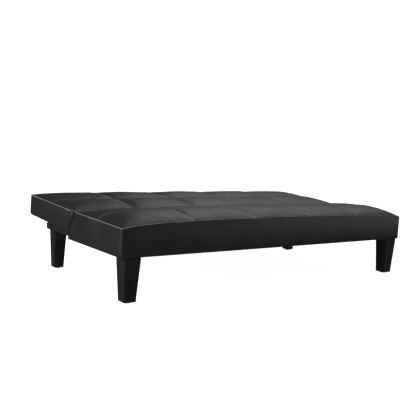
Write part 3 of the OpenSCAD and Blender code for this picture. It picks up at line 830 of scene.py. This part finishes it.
FINISHES = {
    "leg_black": ("leg_front_left", "leg_front_right", "leg_rear_left", "leg_rear_right"),
    "rail_black": ("base_rail_left", "base_rail_right"),
    "bumper_rubber": ("back_bumpers",),
    "glide_plastic": ("leg_glides",),
    "hinge_steel": (
        "hinge_seat_plate_left", "hinge_seat_plate_right", "hinge_back_plate_left",
        "hinge_back_plate_right", "pawl_left", "pawl_right"),
    "spring_wire": ("seat_springs", "back_springs", "pawl_springs"),
    "zinc_steel": (
        "seat_spring_clips", "back_spring_clips", "seat_staples", "back_staples",
        "seat_frame_screws", "back_frame_screws", "rail_screws", "leg_bolts",
        "hinge_seat_bolts", "hinge_back_bolts", "hinge_pivot_pin_left",
        "hinge_pivot_pin_right", "pawl_pins"),
    "frame_pine": (
        "seat_front_rail", "seat_rear_rail", "seat_side_board_left", "seat_side_board_right",
        "seat_cross_beams", "seat_corner_blocks", "back_front_rail", "back_rear_rail",
        "back_side_board_left", "back_side_board_right", "back_cross_beams"),
}
# Width of the rounded edges; the finishes left out keep their CAD edges
BEVELS = {
    "leg_black": 0.0035,
    "rail_black": 0.0025,
    "frame_pine": 0.0015,
    "bumper_rubber": 0.0025,
    "hinge_steel": 0.0004,
    "glide_plastic": 0.001,
}


def finish_node(name, finish, material):
    """Give a CAD node its material and, where it has them, rounded edges."""
    obj = frame["nodes"][name]
    obj.data.materials.clear()
    obj.data.materials.append(material)
    width = BEVELS.get(finish)
    if width:
        weld = obj.modifiers.new("weld", "WELD")
        weld.merge_threshold = 0.00002
        bevel = obj.modifiers.new("edges", "BEVEL")
        bevel.width = width
        bevel.segments = 3
        bevel.limit_method = "ANGLE"
        bevel.angle_limit = math.radians(35)


# ---------- camera, light and floor ----------

def make_camera():
    """Low three-quarter view from the front left, turned slightly about its own axis."""
    data = bpy.data.cameras.new("camera")
    data.lens = 57.0
    data.sensor_width = 36
    data.shift_x = 0.04
    data.clip_end = 100
    camera = bpy.data.objects.new("camera", data)
    bpy.context.scene.collection.objects.link(camera)
    yaw, pitch, roll = 0.6195, 0.1099, 0.0524
    level = Vector((math.sin(yaw), math.cos(yaw), 0))
    forward = level * math.cos(pitch) - Vector((0, 0, math.sin(pitch)))
    right = Vector((math.cos(yaw), -math.sin(yaw), 0))
    up = right.cross(forward)
    turned_right = right * math.cos(roll) + up * math.sin(roll)
    turned_up = up * math.cos(roll) - right * math.sin(roll)
    rotation = Matrix((turned_right, turned_up, -forward)).transposed().to_4x4()
    place = Vector((-2.294, -2.928, 0.743))
    camera.matrix_world = Matrix.Translation(place) @ rotation
    bpy.context.scene.camera = camera


def area_light(name, place, target, size, power):
    """Softbox that the camera doesn't see."""
    data = bpy.data.lights.new(name, "AREA")
    data.shape = "RECTANGLE"
    data.size, data.size_y = size
    data.energy = power
    light = bpy.data.objects.new(name, data)
    light.location = place
    light.rotation_mode = "QUATERNION"
    light.rotation_quaternion = (Vector(target) - Vector(place)).to_track_quat("-Z", "Y")
    light.visible_camera = False
    bpy.context.scene.collection.objects.link(light)


def make_backdrop():
    """White shell round the studio that only the camera sees."""
    bpy.ops.mesh.primitive_uv_sphere_add(segments=48, ring_count=24, radius=28)
    shell = bpy.context.object
    shell.name = "backdrop"
    shell.visible_diffuse = False
    shell.visible_glossy = False
    shell.visible_transmission = False
    shell.visible_shadow = False
    m = Material("backdrop", Emission_Strength=1.0, Roughness=1.0)
    m.shader.inputs["Emission Color"].default_value = (1, 1, 1, 1)
    shell.data.materials.append(m.material)


def make_floor():
    """White floor that fades into the backdrop and doesn't show in reflections."""
    bpy.ops.mesh.primitive_plane_add(size=55, location=(0, 0, 0))
    floor = bpy.context.object
    floor.name = "floor"
    floor.visible_glossy = False
    m = Material("floor", Roughness=0.9, Specular_IOR_Level=0.1, Emission_Strength=0.95)
    m.shader.inputs["Emission Color"].default_value = (1, 1, 1, 1)
    m.colour(m.mix(m.noise(0.8, 2), (0.93, 0.93, 0.93), (0.95, 0.95, 0.95)))
    floor.data.materials.append(m.material)


def make_studio():
    """Bright studio with a dim room, so that the black leather keeps its contrast."""
    world = bpy.data.worlds.new("studio")
    world.use_nodes = True
    background = world.node_tree.nodes["Background"]
    background.inputs["Color"].default_value = (1, 1, 1, 1)
    background.inputs["Strength"].default_value = 0.09
    bpy.context.scene.world = world
    area_light("key", (4.4, 3.3, 4.2), (0.2, -0.2, 0.3), (5.0, 1.7), 57)
    area_light("front_fill", (4.6, -4.2, 1.0), (0.3, -0.5, 0.3), (3.0, 1.4), 36)
    area_light("left_fill", (-4.0, 0.2, 1.8), (-0.9, 0, 0.25), (2.5, 1.8), 220)
    area_light("overhead", (0, 0, 4.5), (0, 0, 0), (5, 4), 70)
    make_backdrop()
    make_floor()
    bpy.context.scene.view_settings.view_transform = "Standard"


# ---------- the whole object ----------

def build():
    """Camera, studio, the soft pieces and the finishes of the CAD nodes."""
    make_camera()
    make_studio()
    finishes = make_materials()
    for cushion, nodes in ((SEAT, ("seat_cover", "seat_foam")), (BACK, ("back_cover", "back_foam"))):
        obj = make_cushion(cushion)
        obj.data.materials.append(finishes["faux_leather"])
        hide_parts(*nodes)
        stitches = make_stitching(cushion)
        stitches.data.materials.append(finishes["thread"])
    seat_dust, seat_flat = make_dust_cover(
        "seat_dust_cloth", "seat_dust_cover", "base", sag=0.006, hold=0.80)
    back_dust, back_flat = make_dust_cover(
        "back_dust_cloth", "back_dust_cover", "backrest", sag=0.005, hold=0.78)
    seat_dust.data.materials.append(finishes["dust_cloth"])
    back_dust.data.materials.append(finishes["dust_cloth"])
    for finish, names in FINISHES.items():
        for name in names:
            finish_node(name, finish, finishes[finish])


build()
